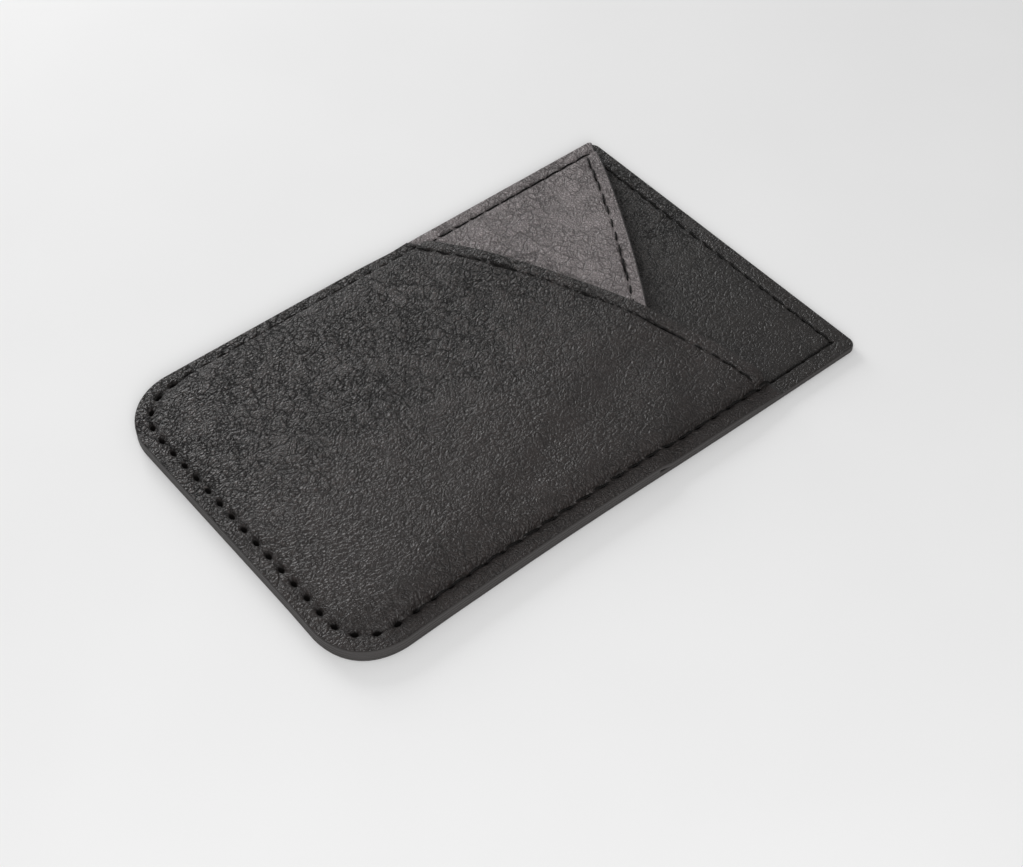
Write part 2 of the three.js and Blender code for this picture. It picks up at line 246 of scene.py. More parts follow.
class HolderStage(bpy.types.PropertyGroup):
    """The camera and the lights."""

    camera_place: FloatVectorProperty(
        name="Camera",
        description="Where the camera stands",
        default=(0.154885, -0.118374, 0.212709),
        precision=5,
        subtype="TRANSLATION",
        unit="LENGTH",
    )
    camera_turn: FloatVectorProperty(
        name="Camera turn",
        description="How the camera is turned",
        default=tuple(math.radians(angle) for angle in (40.97412, 0.72163, 50.76989)),
        subtype="EULER",
        unit="ROTATION",
    )
    camera_lens: FloatProperty(
        name="Lens",
        description="Focal length for a sensor 36 mm wide",
        default=66.459,
        unit="CAMERA",
    )
    key_power: share("Key light", 1.5, "Power of the low lamp beyond the left side, in watts")
    fill_power: share("Fill light", 2.2, "Power of the soft lamp on the camera's side, in watts")
    sky: share("Sky", 0.38, "Brightness of the surroundings")


def clamp01(value):
    """Keeps a value between 0 and 1."""
    return np.clip(value, 0.0, 1.0)


def smooth(value):
    """Goes from 0 to 1 with level ends."""
    value = clamp01(value)
    return value * value * (3.0 - 2.0 * value)


def mix(first, second, part):
    """The value a part of the way from the first to the second."""
    return first + (second - first) * part


def bump(distance, reach):
    """1 at a distance of 0, falling away softly over a reach."""
    return np.exp(-((distance / reach) ** 2))


class Mouth:
    """The curved edge of a pocket, one cubic curve from the left side to the right."""

    def __init__(self, points):
        t = np.linspace(0.0, 1.0, 401)[:, None]
        a, b, c, d = (np.array(point) * MM for point in points)
        curve = a * (1 - t) ** 3 + 3 * b * t * (1 - t) ** 2 + 3 * c * t * t * (1 - t) + d * t**3
        self.x, self.y = curve.T
        self.slope = np.gradient(self.y, self.x)

    def at(self, x):
        """Height of the edge."""
        return np.interp(x, self.x, self.y)

    def slant(self, x):
        """How much longer a step along the edge is than its width."""
        return np.hypot(1.0, np.interp(x, self.x, self.slope))

    def past(self, x, y):
        """How far a place lies beyond the edge."""
        return (y - self.at(x)) / self.slant(x)

    def travelled(self, x):
        """Distance along the edge from its left end."""
        steps = np.hypot(np.diff(self.x), np.diff(self.y))
        return np.interp(x, self.x, np.concatenate([[0.0], np.cumsum(steps)]))


class Shape:
    """The holder's form, worked out from its sizes."""

    def __init__(self, sizes):
        self.s = s = sizes
        self.half = s.width / 2
        self.top = s.length / 2
        self.back_level = s.adhesive
        self.facing_level = self.back_level + s.back
        self.pocket_floor = self.facing_level + s.facing
        self.front_mouth = Mouth(FRONT_MOUTH)
        self.middle_mouth = Mouth(MIDDLE_MOUTH)
        self.front_top_rise = (s.wall_start, s.wall_skin + 2 * s.wall_play)
        self.front_under_rise = (s.wall_start + s.wall_skin, s.wall_skin / 2 + 2 * s.wall_play)
        middle_start = s.wall_start + s.wall_skin + s.wall_play
        self.middle_top_rise = (middle_start, s.wall_skin / 2 + s.wall_play)
        self.middle_under_rise = (middle_start + s.wall_skin, s.wall_play)
        card_left = -self.half + s.seam_inset + s.seam_shift + self.middle_under_rise[0] + s.wall_play
        self.card_x = card_left + s.card_width / 2
        self.card_y = self.top - s.card_below_top - s.card_length / 2
        self.seam_half = self.half - s.seam_inset
        self.seam_radius = s.low_corner - s.seam_inset
        self.seam_low = -self.top + s.seam_inset + self.seam_radius
        self.seam_top = self.top - s.seam_inset
        self.seam_side = self.seam_top - self.seam_low
        self.seam_arc = self.seam_radius * math.pi / 2
        self.seam_bottom = 2 * (self.seam_half - self.seam_radius)
        around = 2 * self.seam_side + 2 * self.seam_arc + self.seam_bottom
        sides = round(around / s.stitch)
        self.pitch = around / sides
        self.stitches = sides + round((2 * self.seam_half - s.top_rest) / self.pitch)

    def shift(self, inset):
        """How far a line is moved left, all of it from the seam inwards."""
        return self.s.seam_shift * clamp01(inset / self.s.seam_inset)

    def placed(self, x, y, z):
        """Points of a face, moved to where the handmade outline leaves its straight lines."""
        s = self.s
        near_right = smooth((x - SIDE_START) / SIDE_REACH)
        near_left = smooth((-x - SIDE_START) / SIDE_REACH)
        drawn_in = -s.waist * bump(y - WAIST_Y, WAIST_REACH) * near_right
        pushed_out = -s.left_push * smooth((y - PUSH_START) / PUSH_REACH) * near_left
        corner = s.corner_push * bump(np.hypot(x - CORNER_X, y - CORNER_Y), CORNER_REACH)
        stretched = s.top_stretch * smooth((y - STRETCH_START) / STRETCH_REACH)
        return np.stack([x + drawn_in + pushed_out + corner, y - corner + stretched, z], axis=1)

    def open_edge(self, x):
        """Height of the open edge, with its round corners."""
        radius = self.s.top_corner
        beyond = np.clip(np.abs(x) - (self.half - radius), 0.0, radius)
        return self.top - radius + np.sqrt(radius**2 - beyond**2)

    def rise(self, x, y, inset, start, wrap):
        """How far a face has climbed from the seam over the card, from 0 to 1."""
        s = self.s
        from_seam = np.maximum(inset - s.seam_inset - start, 0.0)
        dx = np.abs(x - self.card_x) - (s.card_width / 2 - s.card_corner)
        dy = np.maximum(self.card_y - y, 0.0) - (s.card_length / 2 - s.card_corner)
        outer = np.hypot(np.maximum(dx, 0.0), np.maximum(dy, 0.0))
        outside = outer + np.minimum(np.maximum(dx, dy), 0.0) - s.card_corner - wrap
        reach = from_seam + np.maximum(outside, 0.0)
        climb = (from_seam / np.maximum(reach, 1e-9)) ** CLIMB_POWER
        settled = 1.0 - np.exp(np.minimum(outside, 0.0) / s.card_spring)
        return mix(s.card_share * climb, 1.0, settled * climb) * (from_seam > 0)

    def over_middle(self, x, y, step):
        """1 where the middle panel lies underneath, falling to 0 past its mouth."""
        return 1.0 - clamp01((self.middle_mouth.past(x, y) - STEP_PLAY) / step)

    def over_note(self, x, y):
        """1 where the folded note lies."""
        s = self.s
        across = np.abs(x * math.cos(s.note_tilt) + y * math.sin(s.note_tilt) - s.note_centre)
        return 1.0 - smooth((across - s.note_width / 2) / s.note_slope + 0.5)

    def along_seam(self, x, y):
        """Distance along the perimeter seam from the open end of its left side, over the top last."""
        x = x - self.s.seam_shift
        sign, across = np.sign(x), np.abs(x)
        centre = self.seam_bottom / 2
        middle = self.seam_side + self.seam_arc + centre
        angle = np.arctan2(across - centre, self.seam_low - y)
        turned = np.where(across > centre, clamp01(angle / (math.pi / 2)) * self.seam_arc, 0.0)
        low_way = np.minimum(across, centre) + turned
        side_way = centre + self.seam_arc + np.clip(y - self.seam_low, 0.0, self.seam_side)
        top_way = centre + self.seam_arc + self.seam_side + self.seam_half - x
        over_top = self.seam_top - y < self.seam_half - across
        way = np.where(y < self.seam_low, low_way, side_way)
        return middle + np.where(over_top & (y > 0), top_way, sign * way)

    def seam(self, x, y, inset):
        """How deep the perimeter seam pulls a face."""
        along = self.along_seam(x, y) / self.pitch
        from_hole = (along - np.round(along)) * self.pitch
        return self.pulled(inset - self.s.seam_inset, from_hole, self.tightness(x, y))

    def tightness(self, x, y):
        """1 where the perimeter seam is tight: along the right side and beyond the front mouth."""
        right_side = smooth((x - TIGHT_X) / TIGHT_X_REACH) * smooth((y - TIGHT_Y) / TIGHT_Y_REACH)
        return np.maximum(right_side, smooth((y - self.front_mouth.at(x)) / TIGHT_MOUTH_REACH))

    def pulled(self, across, from_hole, tight):
        """How deep a seam pulls its face: single holes where it is loose, a groove where it is tight."""
        s = self.s
        line = s.seam_sink * bump(across, s.seam_reach)
        width = mix(s.hole_width, s.tight_hole_width, tight)
        hole = mix(s.hole_sink, s.tight_hole_sink, tight) * bump(across, width)
        return line + hole * bump(from_hole, s.hole_length)

    def hem(self, x, mouth, from_mouth, hem):
        """How deep a hem seam pulls a face."""
        count = np.round(mouth.travelled(self.half) / self.s.stitch)
        pitch = mouth.travelled(self.half) / count
        along = mouth.travelled(x) / pitch
        from_hole = (along - np.round(along)) * pitch
        return self.pulled(from_mouth - hem, from_hole, 1.0)

    def uneven(self, x, y):
        """Slight rises and falls of a soft panel."""
        u, v = x / WAVE_WIDTH, y / WAVE_LENGTH
        waves = np.sin(u + 1.3 * np.sin(v)) + np.sin(1.7 * v - 0.6 * u + 1.0) + np.sin(0.8 * u + 2.3 * v)
        return WAVE_HEIGHT * waves

    def front_margin(self, x, y):
        """Height of the front panel's underside outside the seam."""
        return self.pocket_floor + self.s.middle * self.over_middle(x, y, self.s.margin_step)

    def front_pocket(self, x, y):
        """Height of the front panel's underside over what it covers."""
        s = self.s
        middle = s.middle * smooth(self.over_middle(x, y, s.pocket_step))
        filled = s.card_thickness + s.note_play + s.note_thickness * self.over_note(x, y)
        return self.pocket_floor + filled + middle

    def front_top(self, x, y, inset, from_mouth):
        """Height of the front panel's face, and how deep its seams pull it."""
        s = self.s
        up = self.rise(x, y, inset, *self.front_top_rise)
        pocket = self.front_pocket(x, y) + s.padding + self.uneven(x, y)
        thinned = (s.front - s.skived) * (1.0 - smooth(from_mouth / s.skive_reach))
        level = mix(self.front_margin(x, y) - thinned, pocket, up) + s.front
        inside = smooth(3 * up)
        sunk = np.maximum(
            self.seam(x, y, inset),
            inside * self.hem(x, self.front_mouth, from_mouth, s.front_hem),
        )
        swell = s.hem_swell * inside * bump(from_mouth - s.front_hem / 2, s.front_hem / 3)
        return level + swell - sunk, sunk

    def front_under(self, x, y, inset, from_mouth):
        """Height of the front panel's underside."""
        s = self.s
        up = self.rise(x, y, inset, *self.front_under_rise)
        turned = HEM_TURN * up * (1.0 - smooth((from_mouth - s.front_hem) / (s.front_hem / 2)))
        return mix(self.front_margin(x, y), self.front_pocket(x, y), up) - turned

    def middle_top(self, x, y, inset, from_mouth):
        """Height of the middle panel's face, and how deep its seams pull it."""
        s = self.s
        up = self.rise(x, y, inset, *self.middle_top_rise)
        inside = smooth(3 * up)
        sunk = np.maximum(
            self.seam(x, y, inset),
            inside * self.hem(x, self.middle_mouth, from_mouth, s.middle_hem),
        )
        level = self.pocket_floor + s.middle + s.card_thickness * up
        return level + MIDDLE_WAVES * self.uneven(x, y) * inside - sunk, sunk

    def middle_under(self, x, y, inset, from_mouth):
        """Height of the middle panel's underside."""
        return self.pocket_floor + self.s.card_thickness * self.rise(x, y, inset, *self.middle_under_rise)

    def low_corner_at(self, inset):
        """Radius of a line's corners at the closed end."""
        half = self.half - inset
        return min(max(self.s.low_corner - inset, LEAST_LOW_CORNER), half)

    def pocket_line(self, inset, mouth, rows):
        """One U-shaped line of a pocket panel: places and distances from the mouth."""
        half = self.half - inset
        radius = self.low_corner_at(inset)
        low = -self.top + inset + radius
        shift = self.shift(inset)
        side_count, corner_count, bottom_count = POCKET_COUNTS

        def side(sign):
            x = sign * half + shift
            top = min(mouth.at(x), self.open_edge(x))
            ys = top - rows * mouth.slant(x)
            rest = mix(ys[-1], low, np.linspace(0, 1, side_count + 1)[1:-1])
            ys = np.concatenate([ys, rest])
            distances = np.concatenate([rows, (top - rest) / mouth.slant(x)])
            return np.full_like(ys, x), ys, distances

        def arc(sign, start):
            angle = math.radians(start) + np.linspace(0, math.pi / 2, corner_count + 1)
            x = sign * (half - radius) + radius * np.cos(angle) + shift
            return x, low + radius * np.sin(angle)

        left, right = side(-1), side(1)
        low_left, low_right = arc(-1, 180), arc(1, 270)
        flat = (half - radius) * np.linspace(-1, 1, bottom_count + 1)[1:-1] + shift
        bottom = (flat, np.full_like(flat, low - radius))
        x = np.concatenate([left[0], low_left[0], bottom[0], low_right[0], right[0][::-1]])
        y = np.concatenate([left[1], low_left[1], bottom[1], low_right[1], right[1][::-1]])
        far = np.full(len(x) - 2 * len(left[2]), FAR_FROM_MOUTH)
        distances = np.concatenate([left[2], far, right[2][::-1]])
        return x, y, distances

    def full_line(self, inset, counts):
        """One closed line of a full panel."""
        half = self.half - inset
        low_radius = self.low_corner_at(inset)
        top_radius = min(max(self.s.top_corner - inset, LEAST_TOP_CORNER), half)
        low = -self.top + inset + low_radius
        top = self.top - inset - top_radius
        shift = self.shift(inset)
        side_count, low_count, end_count, top_count = counts
        xs, ys = [], []
        corners = (
            (-1, top, top_radius, 90, top_count),
            (-1, low, low_radius, 180, low_count),
            (1, low, low_radius, 270, low_count),
            (1, top, top_radius, 0, top_count),
        )
        for index, (sign, y, radius, start, count) in enumerate(corners):
            angle = math.radians(start) + np.linspace(0, math.pi / 2, count + 1)
            xs.append(sign * (half - radius) + radius * np.cos(angle) + shift)
            ys.append(y + radius * np.sin(angle))
            number = side_count if index in (0, 2) else end_count
            sign_next, y_next, radius_next, start_next, _ = corners[(index + 1) % 4]
            first = math.radians(start_next)
            next_x = sign_next * (half - radius_next) + radius_next * math.cos(first) + shift
            next_y = y_next + radius_next * math.sin(first)
            steps = np.linspace(0, 1, number + 1)[1:-1]
            xs.append(mix(xs[-1][-1], next_x, steps))
            ys.append(mix(ys[-1][-1], next_y, steps))
        x, y = np.concatenate(xs), np.concatenate(ys)
        return np.append(x, x[0]), np.append(y, y[0])


# Distances from the cut edge at which a skin is drawn, in millimetres, and shares of the edge's rounding
EDGE_STEPS = [0, 0.06, 0.25, 0.55, 1.0]
SEAM_INSETS = [0.5, 1.0, 1.5, 1.85, 2.05, 2.2, 2.32, 2.42, 2.5, 2.6, 2.7, 2.78, 2.88, 3.0]
WALL_INSETS = [
    3.1, 3.22, 3.36, 3.52, 3.7, 3.9, 4.15, 4.45, 4.8, 5.2, 5.7, 6.3, 7, 7.8, 8.7, 9.8,
    11, 12.5, 14, 16, 18, 20.5, 23, 25.5, 28, 29.8, 31,
]
UNDER_INSETS = [
    1.2, 1.9, 2.2, 2.4, 2.5, 2.6, 2.7, 2.8, 2.95, 3.1, 3.3, 3.5, 3.7, 3.9, 4.1, 4.4, 4.8,
    5.5, 6.5, 8, 10.5, 14, 19, 25, 31,
]
FULL_INSETS = [4, 6, 9, 14, 20, 26, 29.8, 31]
FULL_UNDER_INSETS = [2, 6, 14, 24, 31]

# The same from a mouth, the second list from its hem seam
LIP_ROWS = [0, 0.01, 0.03, 0.07, 0.12, 0.19, 0.28, 0.4, 0.6, 0.9, 1.2]
HEM_ROWS = [-0.8, -0.55, -0.4, -0.3, -0.2, -0.1, 0, 0.1, 0.2, 0.3, 0.42, 0.58, 0.8, 1.1, 1.5]


def hem_rows(hem):
    """Distances from a mouth at which a pocket panel is drawn."""
    seam = [hem / MM + row for row in HEM_ROWS]
    return np.array([*LIP_ROWS, *(row for row in seam if row > LIP_ROWS[-1] + 0.1)]) * MM


def drawn_insets(millimetres, extra, outwards):
    """Distances from the cut edge in metres, in the order in which a face is drawn."""
    return sorted({*extra, *(inset * MM for inset in millimetres)}, reverse=outwards)


def deselect():
    """Leaves nothing selected."""
    if bpy.context.mode != "OBJECT":
        bpy.ops.object.mode_set(mode="OBJECT")
    bpy.ops.object.select_all(action="DESELECT")


def lay_skin(name, places, seams, edges, deepest):
    """Turns a grid into a skin that runs through rows of places, and joins it where it meets itself."""
    places = np.array(places)
    marks = {"seam": clamp01(np.array(seams) / deepest), "edge": np.array(edges)}
    rows, columns = places.shape[:2]
    deselect()
    bpy.ops.mesh.primitive_grid_add(
        x_subdivisions=columns - 1, y_subdivisions=rows - 1, size=1.0, calc_uvs=False
    )
    piece = bpy.context.active_object
    piece.name = name
    mesh = piece.data
    mesh.name = name
    if len(mesh.vertices) != rows * columns:
        raise RuntimeError(f"{name}: the grid has {len(mesh.vertices)} points, not {rows * columns}")
    mesh.vertices.foreach_set("co", places.reshape(-1).astype(np.float32))
    for mark, values in marks.items():
        attribute = mesh.attributes.new(mark, "FLOAT", "POINT")
        attribute.data.foreach_set("value", values.reshape(-1).astype(np.float32))
    bpy.ops.object.mode_set(mode="EDIT")
    bpy.ops.mesh.select_all(action="SELECT")
    bpy.ops.mesh.remove_doubles(threshold=MERGE_DISTANCE)
    bpy.ops.mesh.normals_make_consistent(inside=False)
    bpy.ops.object.mode_set(mode="OBJECT")
    bpy.ops.object.shade_smooth_by_angle(angle=SMOOTH_ANGLE)
    return piece


def rounded(high, low, fold):
    """Draws two faces together where an edge folds, from 1 flat to 0 joined."""
    middle = mix(low, high, 0.5)
    return mix(middle, high, fold), mix(middle, low, fold)


def pocket_skin(shape, name, mouth, hem, top, under):
    """A pocket panel: face, rounded cut edge, underside and a round lip at its mouth."""
    s = shape.s
    rows = hem_rows(hem)
    lip = min(s.front, s.middle) / 2
    round_insets = [s.edge_round * step for step in EDGE_STEPS]
    order = [(inset, "top") for inset in drawn_insets(SEAM_INSETS + WALL_INSETS, round_insets, True)]
    order += [(inset, "under") for inset in drawn_insets(UNDER_INSETS, round_insets, False)]
    places, seams, edges = [], [], []
    for inset, face in order:
        x, y, distance = shape.pocket_line(inset, mouth, rows)
        high, sunk = top(x, y, inset, distance)
        low = np.minimum(under(x, y, inset, distance), high - LEAST_SKIN)
        fold = np.sqrt(np.maximum(1.0 - (1.0 - clamp01(distance / lip)) ** 2, 0.0))
        high, low = rounded(high, low, fold)
        cut = 1.0 - clamp01(inset / s.edge_round)
        drop = s.edge_round * (1.0 - math.sqrt(1.0 - cut**2)) * fold
        z = np.minimum(high, np.maximum(high - drop, low)) if face == "top" else low + 0.4 * drop
        places.append(shape.placed(x, y, z))
        seams.append(sunk if face == "top" else np.zeros_like(x))
        near_mouth = 1.0 - clamp01(distance / LIP_EDGE)
        edges.append(np.maximum(near_mouth, 1.0 if face == "under" else cut))
    return lay_skin(name, places, seams, edges, s.seam_sink + s.hole_sink)


def full_skin(shape, name, bottom, top, edge_inset, sewn):
    """A full panel with rounded edges and, where its seam shows, the seam's hollow."""
    s = shape.s
    counts = SEWN_COUNTS if sewn else PLAIN_COUNTS
    insets = SEAM_INSETS + FULL_INSETS if sewn else FULL_INSETS
    radius = min(s.edge_round, (top - bottom) * 0.45)
    round_insets = [radius * step for step in EDGE_STEPS]
    order = [(inset, "top") for inset in drawn_insets(insets, round_insets, True)]
    order += [(inset, "under") for inset in drawn_insets(FULL_UNDER_INSETS, round_insets, False)]
    places, seams, edges = [], [], []
    for inset, face in order:
        x, y = shape.full_line(min(inset + edge_inset, shape.half), counts)
        cut = 1.0 - clamp01(inset / radius)
        drop = radius * (1.0 - math.sqrt(1.0 - cut**2))
        sunk = shape.seam(x, y, inset) if sewn and face == "top" else np.zeros_like(x)
        z = top - drop - sunk if face == "top" else np.full_like(x, bottom + drop)
        places.append(shape.placed(x, y, z))
        seams.append(sunk)
        edges.append(np.full_like(x, 1.0 if face == "under" else cut))
    return lay_skin(name, places, seams, edges, s.seam_sink + s.hole_sink)


def seam_route(shape):
    """Places along the perimeter seam, from the open end of its left side to its end over the top."""
    distance = np.linspace(0.0, shape.pitch * shape.stitches, SEAM_STEPS)
    centre = shape.seam_bottom / 2
    way = distance - (shape.seam_side + shape.seam_arc + centre)
    sign, far = np.sign(way), np.abs(way)
    turned = clamp01((far - centre) / shape.seam_arc) * math.pi / 2
    beyond = np.maximum(far - centre - shape.seam_arc, 0.0)
    over_top = np.maximum(beyond - shape.seam_side, 0.0)
    across = np.minimum(far, centre) + shape.seam_radius * np.sin(turned) - over_top
    x = sign * across + shape.s.seam_shift
    y = shape.seam_low - shape.seam_radius * np.cos(turned) + beyond - over_top
    return x, y


def stitch_row(name, places, count, radius):
    """A row of stitches: one stitch, repeated and bent along a line of places."""
    pitch = np.linalg.norm(np.diff(places, axis=0), axis=1).sum() / count
    curve = bpy.data.curves.new(name + "_line", "CURVE")
    curve.dimensions = "3D"
    curve.twist_mode = "Z_UP"
    spline = curve.splines.new("POLY")
    spline.points.add(len(places) - 1)
    spline.points.foreach_set("co", np.insert(places, 3, 1.0, axis=1).reshape(-1))
    line = bpy.data.objects.new(name + "_line", curve)
    bpy.context.scene.collection.objects.link(line)
    deselect()
    bpy.ops.mesh.primitive_uv_sphere_add(segments=12, ring_count=10, radius=1.0)
    piece = bpy.context.active_object
    piece.name = name
    piece.data.name = name
    bpy.ops.object.mode_set(mode="EDIT")
    bpy.ops.mesh.select_all(action="SELECT")
    bpy.ops.transform.rotate(value=math.pi / 2, orient_axis="Y")
    bpy.ops.transform.resize(value=(pitch * STITCH_SHARE / 2, radius, radius))
    bpy.ops.transform.rotate(value=STITCH_LEAN, orient_axis="Z")
    bpy.ops.transform.translate(value=(pitch / 2, 0, 0))
    bpy.ops.object.mode_set(mode="OBJECT")
    bpy.ops.object.modifier_add(type="ARRAY")
    repeat = piece.modifiers[-1]
    repeat.count = count
    repeat.use_relative_offset = False
    repeat.use_constant_offset = True
    repeat.constant_offset_displace = (pitch, 0, 0)
    bpy.ops.object.modifier_apply(modifier=repeat.name)
    bpy.ops.object.modifier_add(type="CURVE")
    bend = piece.modifiers[-1]
    bend.object = line
    bend.deform_axis = "POS_X"
    bpy.ops.object.modifier_apply(modifier=bend.name)
    bpy.ops.object.shade_smooth()
    bpy.data.objects.remove(line)
    bpy.data.curves.remove(curve)
    return piece


class Socket:
    """A node socket that can be added, multiplied and passed on."""

    def __init__(self, tree, socket):
        self.tree = tree
        self.socket = socket

    def make(self, kind, inputs, output=0, **settings):
        """Makes a node of any kind and gives one of its outputs."""
        node = self.tree.nodes.new(kind)
        for name, value in settings.items():
            setattr(node, name, value)
        for name, value in inputs.items():
            if isinstance(value, Socket):
                self.tree.links.new(value.socket, node.inputs[name])
            else:
                node.inputs[name].default_value = value
        return Socket(self.tree, node.outputs[output])

    def math(self, operation, *values):
        """Makes a Math node."""
        inputs = dict(enumerate(values))
        return self.make("ShaderNodeMath", inputs, operation=operation)

    def __add__(self, other):
        return self.math("ADD", self, other)

    __radd__ = __add__

    def __sub__(self, other):
        return self.math("SUBTRACT", self, other)

    def __rsub__(self, other):
        return self.math("SUBTRACT", other, self)

    def __mul__(self, other):
        return self.math("MULTIPLY", self, other)

    __rmul__ = __mul__

    def between(self, low, high, first=0.0, second=1.0):
        """Maps the values between two limits softly to two others."""
        inputs = {"Value": self, "From Min": low, "From Max": high, "To Min": first, "To Max": second}
        return self.make("ShaderNodeMapRange", inputs, interpolation_type="SMOOTHSTEP", clamp=True)

    def blend(self, first, second):
        """Mixes two colours by this value."""
        return self.make("ShaderNodeMix", {0: self, 6: first, 7: second}, output=2, data_type="RGBA")

    def noise(self, scale, detail=2.0, output=0):
        """Noise on these coordinates."""
        inputs = {"Vector": self, "Scale": scale, "Detail": detail}
        return self.make("ShaderNodeTexNoise", inputs, output=output)

    def cells(self, scale, feature="DISTANCE_TO_EDGE"):
        """Cells on these coordinates: the distance to their borders or to their middles."""
        return self.make("ShaderNodeTexVoronoi", {"Vector": self, "Scale": scale}, feature=feature)

    def scaled(self, amount):
        """This colour or vector, times a value."""
        return self.make("ShaderNodeVectorMath", {0: self, "Scale": amount}, operation="SCALE")

    def shifted(self, offset, amount):
        """These coordinates, pushed about by a noise colour."""
        centred = self.make("ShaderNodeVectorMath", {0: offset, 1: (0.5, 0.5, 0.5)}, operation="SUBTRACT")
        return self.make("ShaderNodeVectorMath", {0: self, 1: centred.scaled(amount)}, operation="ADD")

    def raised(self, distance, strength=1.0):
        """The normal of a surface that this height raises by up to a distance."""
        inputs = {"Height": self, "Strength": strength, "Distance": distance}
        return self.make("ShaderNodeBump", inputs, output="Normal")


def new_material(name):
    """An empty material with its shader and its Object coordinates."""
    material = bpy.data.materials.new(name)
    material.use_nodes = True
    tree = material.node_tree
    shader = tree.nodes["Principled BSDF"]
    place = Socket(tree, None).make("ShaderNodeTexCoord", {}, output="Object")
    return material, shader, place


def plug(value, node, name):
    """Joins a value to an input of a node."""
    value.tree.links.new(value.socket, node.inputs[name])


def leather(name, tone, grain=1.0, wrinkle=1.0):
    """Grained faux leather: pebbles, wrinkles, cracks and needle holes, with painted shade in the cracks
    and holes, a colour painted lighter on grain tops and darker in its creases, and plain painted edges.
    """
    material, shader, place = new_material(name)
    seam = place.make("ShaderNodeAttribute", {}, output="Fac", attribute_name="seam")
    edge = place.make("ShaderNodeAttribute", {}, output="Fac", attribute_name="edge")
    fine_wander = place.noise(1500.0, output="Color")
    wide_wander = place.noise(420.0, detail=3.0, output="Color")
    slow_wander = place.noise(150.0, detail=4.0, output="Color")
    grains = place.shifted(fine_wander, 0.0006).cells(1900.0).between(0.0, 0.32)
    pebbles = place.shifted(wide_wander, 0.0018).cells(900.0).between(0.0, 0.24)
    pebbles = maximum(pebbles, place.noise(260.0).between(0.45, 0.62) * 0.9)
    creases = place.shifted(wide_wander, 0.0032).cells(430.0).between(0.0, 0.09)
    creases = maximum(creases, place.noise(75.0).between(0.42, 0.60) * 0.75)
    wrinkles = place.shifted(slow_wander, 0.009).cells(150.0).between(0.0, 0.03)
    wrinkles = maximum(wrinkles, 1.0 - wrinkle * place.noise(52.0, detail=1.0).between(0.45, 0.6))
    fine = place.noise(5200.0)
    flat = edge.between(0.2, 0.8)
    across = place.make("ShaderNodeSeparateXYZ", {0: place}, output="X")
    # Painted highlight: the grain's light and dark contrast and its painted crack shade are strongest on
    # the left side, where the key light's highlight falls, and weaken towards the right; the bump's depth
    # follows the same share
    grain_on_highlight_side = (1.0 - flat) * across.between(-0.014, 0.014, 1.0, 0.32)
    height = grains * 1.1 + pebbles * 1.5 + creases * 1.6 + wrinkles * 1.1 + fine * 0.7
    worn = place.noise(110.0, detail=4.0).between(0.35, 0.7, 0.86, 1.14)
    # Painted light and shade in the colour: open grain (pebble tops) is painted lighter as a highlight, and
    # cracks, creases and wrinkles darker as their shade; part of this contrast is the leather's own grain
    dark = tuple(part * (1.0 - 0.95 * grain) for part in tone)
    light = tuple(part * (1.0 + 1.2 * grain) for part in tone)
    speckle = fine.between(0.35, 0.65, 0.5, 1.0)
    open_grain = mix_share(grains, 0.2) * mix_share(pebbles, 0.3) * mix_share(creases, 0.2)
    open_grain = open_grain * mix_share(wrinkles, 0.4) * speckle
    lit = open_grain * grain_on_highlight_side + (1.0 - grain_on_highlight_side) * 0.3
    body = lit.blend((*dark, 1.0), (*light, 1.0)).scaled(worn)
    rough = place.noise(400.0).between(0.3, 0.7, 0.28, 0.34) + (1.0 - open_grain) * 0.18
    plug(flat.blend(body, (*EDGE_PAINT, 1.0)), shader, "Base Color")
    plug(maximum(rough, flat * 0.65), shader, "Roughness")
    plug((height * grain_on_highlight_side).raised(0.00016), shader, "Normal")
    shader.inputs["Specular IOR Level"].default_value = 0.5
    shader.inputs["Sheen Weight"].default_value = 0.03
    shader.inputs["Sheen Roughness"].default_value = 0.5
    # Painted shade: a near-black, barely reflecting shader is mixed in where the seam pulls the face down
    # into needle holes and grooves and where the grain cracks, standing for the shadow that falls there
    crack_shade = open_grain.between(0.02, 0.20, 0.6 * grain, 0.0) * grain_on_highlight_side
    hollow_shade = maximum(crack_shade, seam.between(0.2, 0.6))
    hollow_shade_look = {"Base Color": (*HOLLOW_SHADE_TONE, 1.0), "Roughness": 0.9, "Specular IOR Level": 0.05}
    hollow_shade_bsdf = place.make("ShaderNodeBsdfPrincipled", hollow_shade_look, output="BSDF")
    face = Socket(place.tree, shader.outputs["BSDF"])
    surface = place.make("ShaderNodeMixShader", {0: hollow_shade, 1: face, 2: hollow_shade_bsdf}, output="Shader")
    plug(surface, place.tree.nodes["Material Output"], "Surface")
    return material


def maximum(first, second):
    """The larger of two values."""
    return first.math("MAXIMUM", first, second)


def mix_share(value, least):
    """A value that never falls below a least share."""
    return value * (1.0 - least) + least


def thread_material(tone):
    """Twisted sewing thread: the plies wind round each stitch."""
    material, shader, place = new_material("thread")
    unrolled = place.make("ShaderNodeUVMap", {}, output="UV")
    around = unrolled.make("ShaderNodeSeparateXYZ", {0: unrolled}, output="X")
    along = unrolled.make("ShaderNodeSeparateXYZ", {0: unrolled}, output="Y")
    plies = unrolled.math("SINE", (around * 2.0 + along * 7.0) * (2 * math.pi)).between(-1.0, 1.0)
    fuzz = place.noise(9000.0)
    dark = tuple(part * 0.5 for part in tone)
    plug(plies.blend((*dark, 1.0), (*tone, 1.0)), shader, "Base Color")
    plug(fuzz.between(0.2, 0.8, 0.6, 0.8), shader, "Roughness")
    plug((plies + fuzz * 0.4).raised(0.00004), shader, "Normal")
    shader.inputs["Specular IOR Level"].default_value = 0.2
    return material


